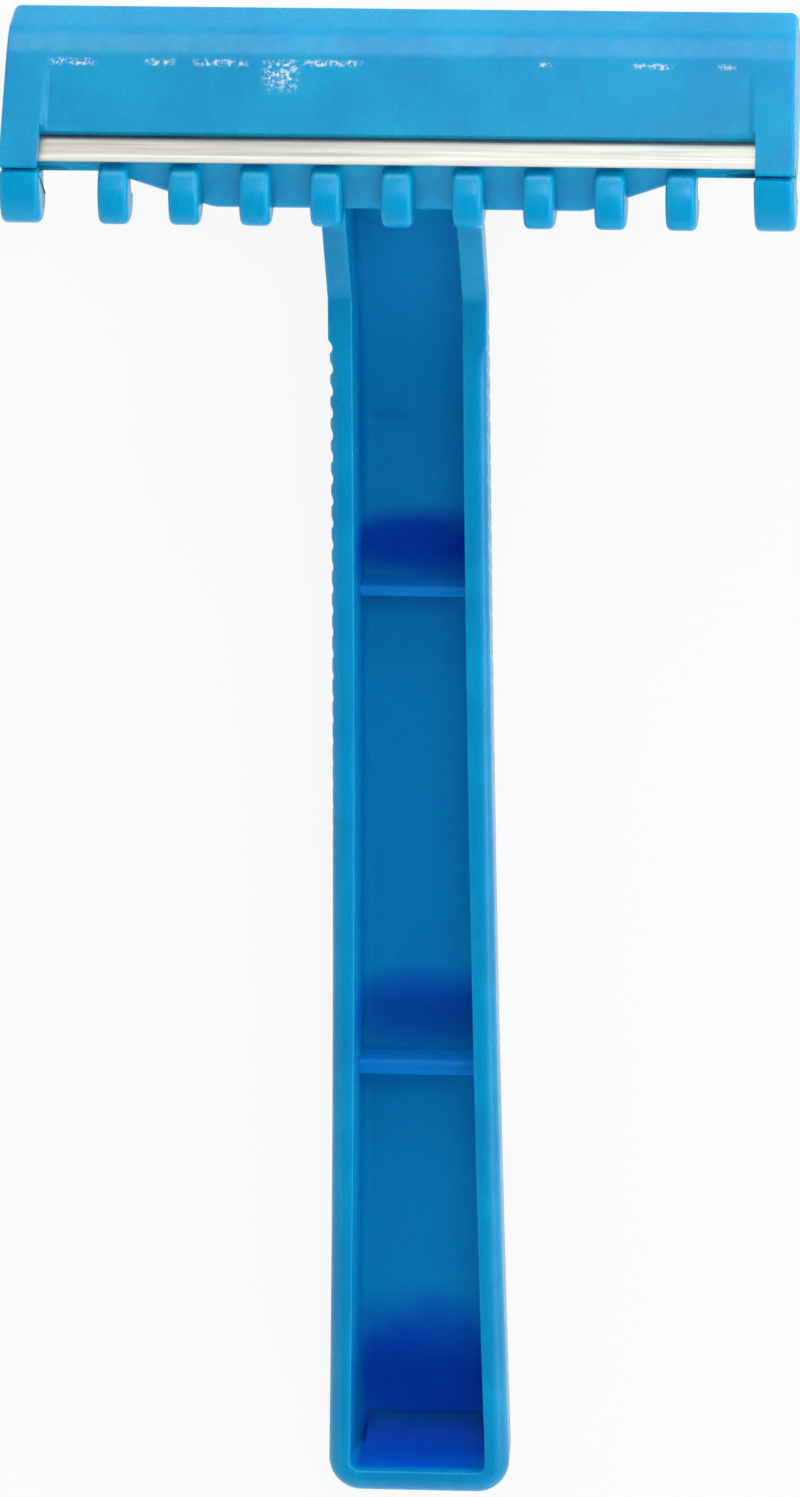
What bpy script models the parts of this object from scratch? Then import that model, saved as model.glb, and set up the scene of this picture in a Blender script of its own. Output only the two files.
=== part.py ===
"""Single-edge disposable razor with a comb guard, lying on its back.

Run it in Blender's text editor, or with: blender --background --python part.py
Metres, +Z up. +X runs along the blade, +Y from the foot of the handle to the head,
and +Z out of the shaving side. Head sections are drawn from the cutting edge: u runs back
along the blade, w out of its upper face. Comb sections are drawn from the edge too, as
reach towards the foot and depth below the top of the tooth.
"""

import math

import bmesh
import bpy
from mathutils import Matrix, Vector

# Whole razor
HEAD_WIDTH = 0.0420
HEAD_TAPER = 0.0002
HEAD_RAISE = 0.0042
HANDLE_LENGTH = 0.06617
NECK_LENGTH = 0.0082
FIT = 0.0003
OVERRUN = 0.0010

# Blade
BLADE_LEAN = math.radians(40)
BLADE_INSET = 0.0016
BLADE_WIDTH = 0.0070
BLADE_THICKNESS = 0.0001
BLADE_EXPOSED = 0.00155
BLADE_GRIND = 0.0005

# Cap over the blade
CAP_LENGTH = 0.00913
CAP_CREST_HEIGHT = 0.00178
CAP_PANEL_END = 0.00523
CAP_CREST_START = 0.00565
CAP_CREST_END = 0.00705
CAP_CREST_RADIUS = 0.0020
CAP_BACK_HEIGHT = 0.00062
CAP_LIP = 0.00025
CAP_RIB_WIDTH = 0.00205
CAP_RIB_DROP = 0.00030
CAP_RIB_TIP_HEIGHT = 0.00034
CAP_RECESS_STEP = 0.00006
CAP_RECESS_DRAFT = 0.00030
CAP_CORNER_RADIUS = 0.00045
CAP_EDGE_RADIUS = 0.00018

# Pins of the cap, formed over behind the platform
PIN_DIAMETER = 0.0015
PIN_SETBACK = 0.0042
PIN_NECK_GAP = 0.0024
PIN_END_INSET = 0.0052
PIN_HEAD_DIAMETER = 0.0027
PIN_HEAD_THICKNESS = 0.00035
PIN_HEAD_SINK = 0.00015

# Platform under the blade, and the flared web below it
PLATFORM_THICKNESS = 0.0016
PLATFORM_CORNER_RADIUS = 0.0005
HAIR_GAP = 0.0009
WEB_RISE = math.radians(30)
WEB_THICKNESS = 0.0013
WEB_PROUD = 0.0001
WEB_DROP = 0.00278
WEB_TOP_DROP = 0.00070
WEB_TOP_INSET = 0.0056
WEB_FLARE = 0.0055
WEB_TOP_RADIUS = 0.0012
WEB_FOOT_RADIUS = 0.0020
WEB_EDGE_RADIUS = 0.00022

# Comb
TOOTH_COUNT = 9
TOOTH_END_INSET = 0.0060
TOOTH_WIDTH = 0.00162
TOOTH_REACH = 0.00350
TOOTH_PROUD = 0.00031
TOOTH_DEPTH = 0.00281
TOOTH_EDGE_RADIUS = 0.00022
BLOCK_WIDTH = 0.00215
BLOCK_PROUD = 0.00062
BLOCK_EDGE_RADIUS = 0.00020

# Handle
NECK_WIDTH = 0.0085
FOOT_WIDTH = 0.01005
FLARE_POWER = 2.2
FLANK_DRAFT = math.radians(4)
FOOT_DEPTH = 0.0057
FOOT_CORNER_RADIUS = 0.0018
BACK_EDGE_RADIUS = 0.0011
RIM_EDGE_RADIUS = 0.00045

# Trough in the handle, with two cross ribs
WALL = 0.00131
FLOOR = 0.0012
FOOT_WALL = 0.0013
TROUGH_CORNER_RADIUS = 0.0005
TROUGH_FLOOR_RADIUS = 0.00035
TROUGH_END_SLOPE = 0.0004
TROUGH_HEAD_RADIUS = 0.0016
TROUGH_UNDER_WEB = 0.0003
CROSS_RIB_HEIGHT = 0.0024
UPPER_RIB_PLACE = 0.04967
UPPER_RIB_THICKNESS = 0.00060
LOWER_RIB_PLACE = 0.02337
LOWER_RIB_THICKNESS = 0.00085
RIB_ROOT = 0.0004

# Spine that carries the neck on behind the head
SPINE_START = 0.0120
SPINE_SETBACK = 0.0066
SPINE_EMBED = 0.0005
SPINE_CURVE_RADIUS = 0.0200

# Grip grooves in the flanks, the first and last measured from the cutting edge
GROOVE_PITCH = 0.0012
GROOVE_DEPTH = 0.00024
GROOVE_RADIUS = 0.00042
GROOVE_FIRST = 0.0109
GROOVE_LAST = 0.0385
GROOVE_TOP_DROP = 0.00075
GROOVE_FADE_SHARE = 0.7

# Comb sections: shares of the reach and of the depth
TOOTH_SHARES = (
    (0.03, 0.575),
    (0.055, 0.385),
    (0.105, 0.235),
    (0.16, 0.115),
    (0.23, 0.035),
    (0.33, 0.0),
    (0.48, 0.0),
    (0.64, 0.025),
    (0.81, 0.085),
    (0.92, 0.160),
    (0.98, 0.275),
    (1.0, 0.445),
    (0.985, 0.640),
    (0.90, 0.835),
    (0.77, 0.955),
    (0.61, 1.0),
    (0.555, 0.945),
    (0.535, 0.765),
    (0.455, 0.720),
    (0.17, 0.750),
    (0.08, 0.680),
)
BLOCK_SHARES = (
    (0.0, 0.620),
    (0.0, 0.075),
    (0.04, 0.015),
    (0.15, 0.0),
    (0.42, 0.025),
    (0.66, 0.105),
    (0.86, 0.225),
    (0.96, 0.355),
    (1.0, 0.500),
    (0.98, 0.665),
    (0.88, 0.845),
    (0.72, 0.960),
    (0.53, 1.0),
    (0.463, 0.955),
    (0.44, 0.800),
    (0.34, 0.760),
    (0.01, 0.785),
    (-0.18, 0.785),
    (-0.18, 0.620),
)

ARC_STEPS = 4
FLARE_STEPS = 12
PIN_SIDES = 24
GROOVE_SIDES = 12
SHARP_ANGLE = math.radians(35)
STEEP = 0.6
LEVEL = 0.45
MERGE = 0.000001

# Places that follow from the sizes above
lean_sin = math.sin(BLADE_LEAN)
lean_cos = math.cos(BLADE_LEAN)
seat_drop = BLADE_THICKNESS + FIT
platform_drop = seat_drop + PLATFORM_THICKNESS
edge_y = HANDLE_LENGTH + NECK_LENGTH
edge_z = HEAD_RAISE + CAP_LENGTH * lean_sin + platform_drop * lean_cos
half_head = HEAD_WIDTH / 2
half_blade = half_head - BLADE_INSET
pin_inner_x = NECK_WIDTH / 2 + PIN_NECK_GAP
pin_outer_x = half_head - PIN_END_INSET
tooth_pitch = (HEAD_WIDTH - 2 * TOOTH_END_INSET) / (TOOTH_COUNT - 1)
web_foot_y = edge_y - WEB_DROP
spine_y = edge_y - SPINE_START
trough_end_y = web_foot_y + TROUGH_UNDER_WEB
head_back_y = edge_y + CAP_LENGTH * lean_cos + CAP_BACK_HEIGHT * lean_sin


def head_point(u, w):
    """Place (y, z) of a point of the head's section."""
    return (edge_y + u * lean_cos + w * lean_sin, edge_z - u * lean_sin + w * lean_cos)


def web_height(y):
    """Height of the web's front face at y."""
    start = head_point(0, -BLADE_THICKNESS - HAIR_GAP)
    return start[1] + (y - start[0]) * math.tan(WEB_RISE)


def rim_height(y):
    """Height of the handle's rims at y: a straight line, then just under the web's face."""
    if y > HANDLE_LENGTH:
        return web_height(y) - WEB_PROUD
    neck_depth = web_height(HANDLE_LENGTH) - WEB_PROUD
    return FOOT_DEPTH + (neck_depth - FOOT_DEPTH) * y / HANDLE_LENGTH


def handle_half_width(y):
    """Half the handle's width at its rims: parallel at the neck, flared towards the foot."""
    share = max(0, 1 - y / HANDLE_LENGTH)
    return (NECK_WIDTH + (FOOT_WIDTH - NECK_WIDTH) * share**FLARE_POWER) / 2


def draft_at(y, z):
    """How far the flanks stand out of their width at the rims: below the rims they lean in."""
    return math.tan(FLANK_DRAFT) * (z - rim_height(y))


def spine_end():
    """Place (y, z) where the spine's back runs into the platform."""
    return head_point(SPINE_SETBACK, -platform_drop + SPINE_EMBED)


def web_plane_crossing(w, depth):
    """Where the head's plane at w meets a plane that lies depth behind the web's face."""
    start = head_point(0, w)
    rise = math.tan(WEB_RISE)
    above = start[1] - web_height(start[0]) + depth / math.cos(WEB_RISE)
    return head_point(above / (lean_sin + lean_cos * rise), w)


def arc(centre, first, sweep, steps):
    """Points on an arc that starts at centre + first and turns through sweep."""
    points = []
    for i in range(steps + 1):
        turned = Matrix.Rotation(sweep * i / steps, 2) @ first
        points.append(tuple(centre + turned))
    return points


def rounded(corners, radii, steps=ARC_STEPS):
    """An outline with its corners rounded, each to its own radius. A radius of 0 is sharp."""
    outline = []
    for i, radius in enumerate(radii):
        corner = Vector(corners[i])
        before = Vector(corners[i - 1]) - corner
        after = Vector(corners[(i + 1) % len(corners)]) - corner
        if radius == 0:
            outline.append(tuple(corner))
            continue
        half = before.angle(after) / 2
        cut = min(radius / math.tan(half), before.length / 2, after.length / 2)
        start = corner + before.normalized() * cut
        stop = corner + after.normalized() * cut
        inward = (before.normalized() + after.normalized()).normalized()
        centre = corner + inward * cut / math.cos(half)
        first = start - centre
        last = stop - centre
        sweep = math.atan2(first.cross(last), first.dot(last))
        outline.extend(arc(centre, first, sweep, steps))
    return outline


def start_scene():
    """Empties the scene and returns the razor's collection."""
    for old in list(bpy.data.objects):
        bpy.data.objects.remove(old, do_unlink=True)
    razor = bpy.data.collections.new("disposable_razor")
    bpy.context.scene.collection.children.link(razor)
    return razor


def mesh_object(name, bm):
    """A linked object from a bmesh, welded and with its faces turned out."""
    bmesh.ops.remove_doubles(bm, verts=bm.verts, dist=MERGE)
    bmesh.ops.recalc_face_normals(bm, faces=bm.faces)
    mesh = bpy.data.meshes.new(name)
    bm.to_mesh(mesh)
    bm.free()
    made = bpy.data.objects.new(name, mesh)
    bpy.context.scene.collection.objects.link(made)
    return made


def evaluated_mesh(source):
    bpy.context.view_layer.update()
    graph = bpy.context.evaluated_depsgraph_get()
    return bpy.data.meshes.new_from_object(source.evaluated_get(graph))


def extrusion(name, outline, half, rotation, location):
    """A flat outline as a 2D curve, extruded half each way, stood in place and made a mesh."""
    curve = bpy.data.curves.new(name, "CURVE")
    curve.dimensions = "2D"
    curve.fill_mode = "BOTH"
    curve.extrude = half
    spline = curve.splines.new("POLY")
    spline.points.add(len(outline) - 1)
    for point, (across, up) in zip(spline.points, outline):
        point.co = (across, up, 0, 1)
    spline.use_cyclic_u = True
    guide = bpy.data.objects.new(name, curve)
    guide.rotation_euler = rotation
    guide.location = location
    bpy.context.scene.collection.objects.link(guide)
    mesh = evaluated_mesh(guide)
    mesh.transform(guide.matrix_world)
    bpy.data.objects.remove(guide)
    bm = bmesh.new()
    bm.from_mesh(mesh)
    bpy.data.meshes.remove(mesh)
    return mesh_object(name, bm)


def side_solid(name, outline, half, x=0):
    """A solid whose outline lies in the Y-Z plane, half wide each way from x."""
    turn = (math.pi / 2, 0, math.pi / 2)
    return extrusion(name, outline, half, turn, (x, 0, 0))


def plan_solid(name, outline, low, high):
    """A solid whose outline lies in the X-Y plane, from low to high."""
    return extrusion(name, outline, (high - low) / 2, (0, 0, 0), (0, 0, (low + high) / 2))


def box(name, low, high):
    """A box between two corners."""
    bm = bmesh.new()
    size = Vector(high) - Vector(low)
    middle = (Vector(high) + Vector(low)) / 2
    place = Matrix.Translation(middle) @ Matrix.Diagonal((*size, 1))
    bmesh.ops.create_cube(bm, size=1, matrix=place)
    return mesh_object(name, bm)


def head_pins(name, diameter, low, high):
    """One cylinder for each pin of the cap, square to the blade, from w = low to w = high."""
    bm = bmesh.new()
    y, z = head_point(PIN_SETBACK, (low + high) / 2)
    turn = Matrix.Rotation(-BLADE_LEAN, 4, "X")
    for x in (-pin_outer_x, -pin_inner_x, pin_inner_x, pin_outer_x):
        bmesh.ops.create_cone(
            bm,
            cap_ends=True,
            segments=PIN_SIDES,
            radius1=diameter / 2,
            radius2=diameter / 2,
            depth=high - low,
            matrix=Matrix.Translation((x, y, z)) @ turn,
        )
    return mesh_object(name, bm)


def combine(body, tool, operation):
    """Joins, cuts or intersects body with tool, and removes the tool."""
    boolean = body.modifiers.new(operation.lower(), "BOOLEAN")
    boolean.operation = operation
    boolean.solver = "EXACT"
    boolean.object = tool
    mesh = evaluated_mesh(body)
    body.modifiers.clear()
    bm = bmesh.new()
    bm.from_mesh(mesh)
    bmesh.ops.remove_doubles(bm, verts=bm.verts, dist=MERGE)
    bmesh.ops.dissolve_degenerate(bm, dist=MERGE, edges=bm.edges)
    bm.to_mesh(mesh)
    bm.free()
    old = body.data
    body.data = mesh
    bpy.data.meshes.remove(old)
    bpy.data.objects.remove(tool, do_unlink=True)
    return body


def merge_flat_faces(body):
    """Dissolves the edges inside flat faces, so that bevels see only real edges."""
    bm = bmesh.new()
    bm.from_mesh(body.data)
    bmesh.ops.dissolve_limit(bm, angle_limit=math.radians(0.2), verts=bm.verts, edges=bm.edges)
    bm.to_mesh(body.data)
    bm.free()


def round_edges(body, radius, segments, chosen):
    """Bevels the sharp edges for which chosen(edge) is true."""
    bm = bmesh.new()
    bm.from_mesh(body.data)
    bm.normal_update()
    edges = [e for e in bm.edges if e.calc_face_angle() > SHARP_ANGLE and chosen(e)]
    bmesh.ops.bevel(
        bm,
        geom=edges,
        offset=radius,
        offset_type="OFFSET",
        segments=segments,
        profile=0.5,
        affect="EDGES",
        clamp_overlap=True,
    )
    bmesh.ops.remove_doubles(bm, verts=bm.verts, dist=MERGE)
    bm.to_mesh(body.data)
    bm.free()


def between(edge, first, second):
    """Whether one face of the edge passes the first test and the other the second."""
    a, b = (face.normal for face in edge.link_faces)
    return (first(a) and second(b)) or (first(b) and second(a))


def faces_up(normal):
    return normal.z > STEEP


def faces_down(normal):
    return normal.z < -STEEP


def stands(normal):
    return abs(normal.z) < LEVEL


def faces_along(normal):
    return abs(normal.x) > 1 - LEVEL / 4


def faces_square(normal):
    return abs(normal.x) < LEVEL


def faces_back(normal):
    return normal.y > STEEP and normal.z < 0


def at_end(edge, half, x=0):
    """Whether the edge lies in one of the end planes of an extrusion along X."""
    return all(abs(abs(v.co.x - x) - half) < MERGE for v in edge.verts)


def handle_bar():
    """The handle without its trough: its side outline, cut to its width from above."""
    inside = -seat_drop - PLATFORM_THICKNESS / 2
    rim_end_y = edge_y - WEB_TOP_DROP
    side = rounded(
        [
            (0, 0),
            (spine_y, 0),
            spine_end(),
            head_point(2 * BLADE_EXPOSED, inside),
            (rim_end_y, rim_height(rim_end_y)),
            (HANDLE_LENGTH, rim_height(HANDLE_LENGTH)),
            (0, FOOT_DEPTH),
        ],
        [0, SPINE_CURVE_RADIUS, 0, 0, 0, 0, 0],
    )
    bar = side_solid("handle", side, FOOT_WIDTH)
    right = []
    for i in range(FLARE_STEPS + 1):
        y = HANDLE_LENGTH * i / FLARE_STEPS
        right.append((handle_half_width(y), y))
    right.append((NECK_WIDTH / 2, web_foot_y))
    right.append((NECK_WIDTH / 2, rim_end_y))
    right.append((NECK_WIDTH / 2, head_back_y))
    left = [(-x, y) for x, y in reversed(right)]
    outline = right + left
    radii = [0] * len(outline)
    radii[0] = FOOT_CORNER_RADIUS
    radii[-1] = FOOT_CORNER_RADIUS
    plan = plan_solid("bar_plan", rounded(outline, radii), -OVERRUN, 2 * edge_z)
    for vertex in plan.data.vertices:
        lean = draft_at(min(vertex.co.y, rim_end_y), vertex.co.z)
        vertex.co.x += math.copysign(1, vertex.co.x) * lean
    combine(bar, plan, "INTERSECT")
    merge_flat_faces(bar)
    round_edges(bar, BACK_EDGE_RADIUS, 3, lambda e: between(e, faces_down, stands))
    round_edges(bar, RIM_EDGE_RADIUS, 2, lambda e: between(e, faces_up, stands))
    return bar


def trough():
    """The hollow of the handle: a side outline with a sloped foot, rising with the spine."""
    top = edge_z
    slope = TROUGH_END_SLOPE / (FOOT_DEPTH - FLOOR)
    spine_end_y, spine_end_z = spine_end()
    spine_rise = spine_end_z * (trough_end_y - spine_y) / (spine_end_y - spine_y)
    side = rounded(
        [
            (FOOT_WALL + TROUGH_END_SLOPE, FLOOR),
            (spine_y, FLOOR),
            (trough_end_y, FLOOR + spine_rise),
            (trough_end_y, top),
            (FOOT_WALL - slope * (top - FOOT_DEPTH), top),
        ],
        [TROUGH_CORNER_RADIUS, SPINE_CURVE_RADIUS, TROUGH_HEAD_RADIUS, 0, 0],
    )
    hollow = side_solid("trough", side, FOOT_WIDTH)
    right = []
    for i in range(FLARE_STEPS + 1):
        y = FOOT_WALL + (trough_end_y + OVERRUN - FOOT_WALL) * i / FLARE_STEPS
        right.append((handle_half_width(y) - WALL, y))
    left = [(-x, y) for x, y in reversed(right)]
    outline = right + left
    radii = [0] * len(outline)
    radii[0] = TROUGH_CORNER_RADIUS
    radii[-1] = TROUGH_CORNER_RADIUS
    plan = plan_solid("trough_plan", rounded(outline, radii), 0, 2 * edge_z)
    combine(hollow, plan, "INTERSECT")
    merge_flat_faces(hollow)
    round_edges(hollow, TROUGH_FLOOR_RADIUS, 2, lambda e: between(e, faces_down, stands))
    return hollow


def cross_rib(name, place, thickness):
    """A low wall across the trough, rooted in its floor and sides."""
    half = handle_half_width(place) - WALL + RIB_ROOT
    low = (-half, place - thickness / 2, FLOOR - RIB_ROOT)
    high = (half, place + thickness / 2, FLOOR + CROSS_RIB_HEIGHT)
    return box(name, low, high)


def platform():
    """The blade's seat across the head, with the flared web that stiffens the neck."""
    y_past = web_foot_y - OVERRUN
    z_past = web_height(y_past)
    side = [
        head_point(CAP_LENGTH, -seat_drop),
        web_plane_crossing(-seat_drop, 0),
        (y_past, z_past),
        (y_past, z_past - WEB_THICKNESS),
        web_plane_crossing(-platform_drop, WEB_THICKNESS),
        head_point(CAP_LENGTH, -platform_drop),
    ]
    plate = side_solid("platform", side, half_head + OVERRUN)
    y_top = edge_y - WEB_TOP_DROP
    web_top_x = half_head - WEB_TOP_INSET
    web_foot_x = web_top_x - WEB_FLARE
    right = [
        (web_foot_x - WEB_FLARE, web_foot_y),
        (web_foot_x, web_foot_y),
        (web_top_x, y_top),
        (half_head, y_top),
        (half_head, edge_y),
        (half_head - HEAD_TAPER, head_back_y),
    ]
    radii = [0, WEB_FOOT_RADIUS, WEB_TOP_RADIUS, 0, 0, 0]
    outline = right + [(-x, y) for x, y in reversed(right)]
    plan = plan_solid("platform_plan", rounded(outline, radii + radii[::-1]), -edge_z, 2 * edge_z)
    combine(plate, plan, "INTERSECT")
    merge_flat_faces(plate)
    round_edges(plate, PLATFORM_CORNER_RADIUS, 3, lambda e: between(e, faces_along, faces_back))
    round_edges(
        plate,
        WEB_EDGE_RADIUS,
        2,
        lambda e: between(e, faces_up, stands) and all(v.co.y < y_top + MERGE for v in e.verts),
    )
    return plate


def comb_section(shares, first_reach, proud, depth):
    """A comb outline from its shares; it starts first_reach past the cutting edge."""
    outline = []
    for reach_share, depth_share in shares:
        reach = first_reach + reach_share * (TOOTH_REACH - first_reach)
        outline.append((edge_y - reach, edge_z + proud - depth_share * depth))
    return outline


def comb():
    """Nine teeth and the two end blocks, as separate bodies in one object."""
    tooth_outline = comb_section(TOOTH_SHARES, 0, TOOTH_PROUD, TOOTH_DEPTH)
    block_depth = TOOTH_DEPTH + BLOCK_PROUD - TOOTH_PROUD
    block_outline = comb_section(BLOCK_SHARES, CAP_RIB_DROP + FIT, BLOCK_PROUD, block_depth)
    members = []
    for i in range(TOOTH_COUNT):
        x = (i - (TOOTH_COUNT - 1) / 2) * tooth_pitch
        half = TOOTH_WIDTH / 2
        tooth = side_solid("tooth", tooth_outline, half, x)
        round_edges(tooth, TOOTH_EDGE_RADIUS, 2, lambda e, h=half, c=x: at_end(e, h, c))
        members.append(tooth)
    for side in (-1, 1):
        half = BLOCK_WIDTH / 2
        x = side * (half_head - half)
        block = side_solid("end_block", block_outline, half, x)
        round_edges(block, BLOCK_EDGE_RADIUS, 2, lambda e, h=half, c=x: at_end(e, h, c))
        members.append(block)
    bm = bmesh.new()
    for member in members:
        bm.from_mesh(member.data)
        bpy.data.objects.remove(member, do_unlink=True)
    return mesh_object("comb", bm)


def grip_grooves():
    """Round-bottomed grooves in both flanks, from the back to just under the rims."""
    bm = bmesh.new()
    count = int((GROOVE_LAST - GROOVE_FIRST) / GROOVE_PITCH) + 1
    for i in range(count):
        y = edge_y - GROOVE_FIRST - i * GROOVE_PITCH
        depth = GROOVE_DEPTH * (1 - GROOVE_FADE_SHARE * i / count)
        height = rim_height(y) - GROOVE_TOP_DROP + OVERRUN
        middle_z = height / 2 - OVERRUN
        x = handle_half_width(y) + draft_at(y, middle_z) + GROOVE_RADIUS - depth
        for side in (-1, 1):
            turn = Matrix.Rotation(side * FLANK_DRAFT, 4, "Y")
            bmesh.ops.create_cone(
                bm,
                cap_ends=True,
                segments=GROOVE_SIDES,
                radius1=GROOVE_RADIUS,
                radius2=GROOVE_RADIUS,
                depth=height,
                matrix=Matrix.Translation((side * x, y, middle_z)) @ turn,
            )
    return mesh_object("grip_grooves", bm)


def make_handle():
    """Handle, neck, web, platform and comb: one moulding."""
    body = handle_bar()
    combine(body, grip_grooves(), "DIFFERENCE")
    combine(body, trough(), "DIFFERENCE")
    combine(body, cross_rib("upper_rib", UPPER_RIB_PLACE, UPPER_RIB_THICKNESS), "UNION")
    combine(body, cross_rib("lower_rib", LOWER_RIB_PLACE, LOWER_RIB_THICKNESS), "UNION")
    plate = platform()
    bore_end = -platform_drop - OVERRUN
    combine(plate, head_pins("pin_holes", PIN_DIAMETER + 2 * FIT, bore_end, 0), "DIFFERENCE")
    counterbore_top = -platform_drop + PIN_HEAD_SINK + PIN_HEAD_THICKNESS + FIT
    sinks = head_pins("pin_sinks", PIN_HEAD_DIAMETER + 2 * FIT, bore_end, counterbore_top)
    combine(plate, sinks, "DIFFERENCE")
    combine(body, plate, "UNION")
    return combine(body, comb(), "UNION")


def make_blade():
    """A flat strip with a ground edge, and holes for the cap's pins."""
    section = [
        head_point(0, -BLADE_THICKNESS / 2),
        head_point(BLADE_GRIND, 0),
        head_point(BLADE_WIDTH, 0),
        head_point(BLADE_WIDTH, -BLADE_THICKNESS),
        head_point(BLADE_GRIND, -BLADE_THICKNESS),
    ]
    strip = side_solid("blade", section, half_blade)
    holes = head_pins("blade_holes", PIN_DIAMETER + 2 * FIT, -OVERRUN, OVERRUN)
    return combine(strip, holes, "DIFFERENCE")


def cap_section():
    """Outline of the cap at its end ribs, from the rib's tip over the crest to the back."""
    tip_u = (-CAP_RIB_DROP - CAP_RIB_TIP_HEIGHT * lean_sin) / lean_cos
    under = FIT - seat_drop
    root_u = (-CAP_RIB_DROP - under * lean_sin) / lean_cos
    corners = [
        head_point(tip_u, CAP_RIB_TIP_HEIGHT),
        head_point(CAP_CREST_START, CAP_CREST_HEIGHT),
        head_point(CAP_CREST_END, CAP_CREST_HEIGHT),
        head_point(CAP_LENGTH, CAP_BACK_HEIGHT),
        head_point(CAP_LENGTH, under),
        head_point(root_u, under),
    ]
    radii = [CAP_EDGE_RADIUS, CAP_CREST_RADIUS, CAP_CREST_RADIUS, CAP_EDGE_RADIUS, 0, 0]
    return rounded(corners, radii, steps=5)


def cap_recess():
    """What is taken from between the ribs: the air over the blade and the sunk front panel."""
    tip_u = (-CAP_RIB_DROP - CAP_RIB_TIP_HEIGHT * lean_sin) / lean_cos
    rib_slope = (CAP_CREST_HEIGHT - CAP_RIB_TIP_HEIGHT) / (CAP_CREST_START - tip_u)
    panel_top = CAP_RIB_TIP_HEIGHT + rib_slope * (CAP_PANEL_END - tip_u) - CAP_RECESS_STEP
    above = 2 * CAP_CREST_HEIGHT
    before = -2 * BLADE_EXPOSED
    below = -2 * seat_drop
    corners = [
        head_point(BLADE_EXPOSED, below),
        head_point(BLADE_EXPOSED, FIT + CAP_LIP),
        head_point(CAP_PANEL_END, panel_top),
        head_point(CAP_PANEL_END, above),
        head_point(before, above),
        head_point(before, below),
    ]
    recess = side_solid("cap_recess", corners, half_head - CAP_RIB_WIDTH)
    for vertex in recess.data.vertices:
        out = Vector((vertex.co.y - edge_y, vertex.co.z - edge_z)).dot(Vector((lean_sin, lean_cos)))
        slant = CAP_RECESS_DRAFT * max(0, out) / CAP_CREST_HEIGHT
        vertex.co.x += math.copysign(slant, vertex.co.x)
    return recess


def make_cap():
    """The cap, with its panel and blade pocket cut and its pins and formed heads joined."""
    cap = side_solid("blade_cap", cap_section(), half_head + OVERRUN)
    front_y = edge_y - TOOTH_REACH
    back_x = half_head - HEAD_TAPER
    corners = [
        (half_head, front_y),
        (half_head, edge_y),
        (back_x, head_back_y),
        (-back_x, head_back_y),
        (-half_head, edge_y),
        (-half_head, front_y),
    ]
    radii = [0, 0, CAP_CORNER_RADIUS, CAP_CORNER_RADIUS, 0, 0]
    plan = plan_solid("cap_plan", rounded(corners, radii), 0, 2 * edge_z)
    combine(cap, plan, "INTERSECT")
    merge_flat_faces(cap)
    round_edges(cap, CAP_EDGE_RADIUS, 2, lambda e: between(e, faces_along, faces_square))
    combine(cap, cap_recess(), "DIFFERENCE")
    pocket_back = BLADE_WIDTH + FIT
    pocket_section = [
        head_point(-2 * BLADE_EXPOSED, FIT),
        head_point(pocket_back, FIT),
        head_point(pocket_back, -2 * seat_drop),
        head_point(-2 * BLADE_EXPOSED, -2 * seat_drop),
    ]
    pocket = side_solid("blade_pocket", pocket_section, half_blade + FIT)
    combine(cap, pocket, "DIFFERENCE")
    head_low = -platform_drop + PIN_HEAD_SINK
    head_high = head_low + PIN_HEAD_THICKNESS
    pin_low = head_low + PIN_HEAD_THICKNESS / 2
    combine(cap, head_pins("pins", PIN_DIAMETER, pin_low, FIT + CAP_LIP), "UNION")
    combine(cap, head_pins("pin_heads", PIN_HEAD_DIAMETER, head_low, head_high), "UNION")
    return cap


def finish(body, razor, middle_y, colour, roughness, metallic):
    """Centres a body on the razor's origin, and gives it its own material and its shading."""
    body.data.transform(Matrix.Translation((0, -middle_y, 0)))
    material = bpy.data.materials.new(body.name)
    material.use_nodes = True
    shader = material.node_tree.nodes["Principled BSDF"]
    shader.inputs["Base Color"].default_value = (*colour, 1)
    shader.inputs["Roughness"].default_value = roughness
    shader.inputs["Metallic"].default_value = metallic
    body.data.materials.clear()
    body.data.materials.append(material)
    body.data.shade_smooth()
    body.data.set_sharp_from_angle(angle=SHARP_ANGLE)
    bpy.context.scene.collection.objects.unlink(body)
    razor.objects.link(body)


razor = start_scene()
handle = make_handle()
blade = make_blade()
cap = make_cap()
middle_y = max(vertex.co.y for vertex in cap.data.vertices) / 2
finish(handle, razor, middle_y, (0.01, 0.27, 0.60), 0.32, 0)
finish(blade, razor, middle_y, (0.72, 0.70, 0.66), 0.28, 1)
finish(cap, razor, middle_y, (0.01, 0.27, 0.60), 0.32, 0)
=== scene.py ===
import math

import bmesh
import bpy
from mathutils import Matrix, Vector


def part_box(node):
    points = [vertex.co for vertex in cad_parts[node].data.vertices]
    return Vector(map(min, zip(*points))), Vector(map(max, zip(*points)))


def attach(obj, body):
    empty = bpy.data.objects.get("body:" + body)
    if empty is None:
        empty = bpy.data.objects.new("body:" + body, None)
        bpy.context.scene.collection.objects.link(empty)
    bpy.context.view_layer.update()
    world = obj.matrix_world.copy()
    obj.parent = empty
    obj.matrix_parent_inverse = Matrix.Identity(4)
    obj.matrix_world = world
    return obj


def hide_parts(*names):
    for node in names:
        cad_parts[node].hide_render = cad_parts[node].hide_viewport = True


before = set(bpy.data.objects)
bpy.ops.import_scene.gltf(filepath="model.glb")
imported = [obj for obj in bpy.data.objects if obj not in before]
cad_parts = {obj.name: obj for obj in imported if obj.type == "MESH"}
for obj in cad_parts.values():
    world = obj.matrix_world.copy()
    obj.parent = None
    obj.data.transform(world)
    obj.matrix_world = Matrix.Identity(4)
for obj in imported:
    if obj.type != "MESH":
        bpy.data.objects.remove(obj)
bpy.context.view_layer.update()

# Pieces are built in millimetres, and turned to metres when they are finished.
metre = 1000
mergeDistance = 0.0005
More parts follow.
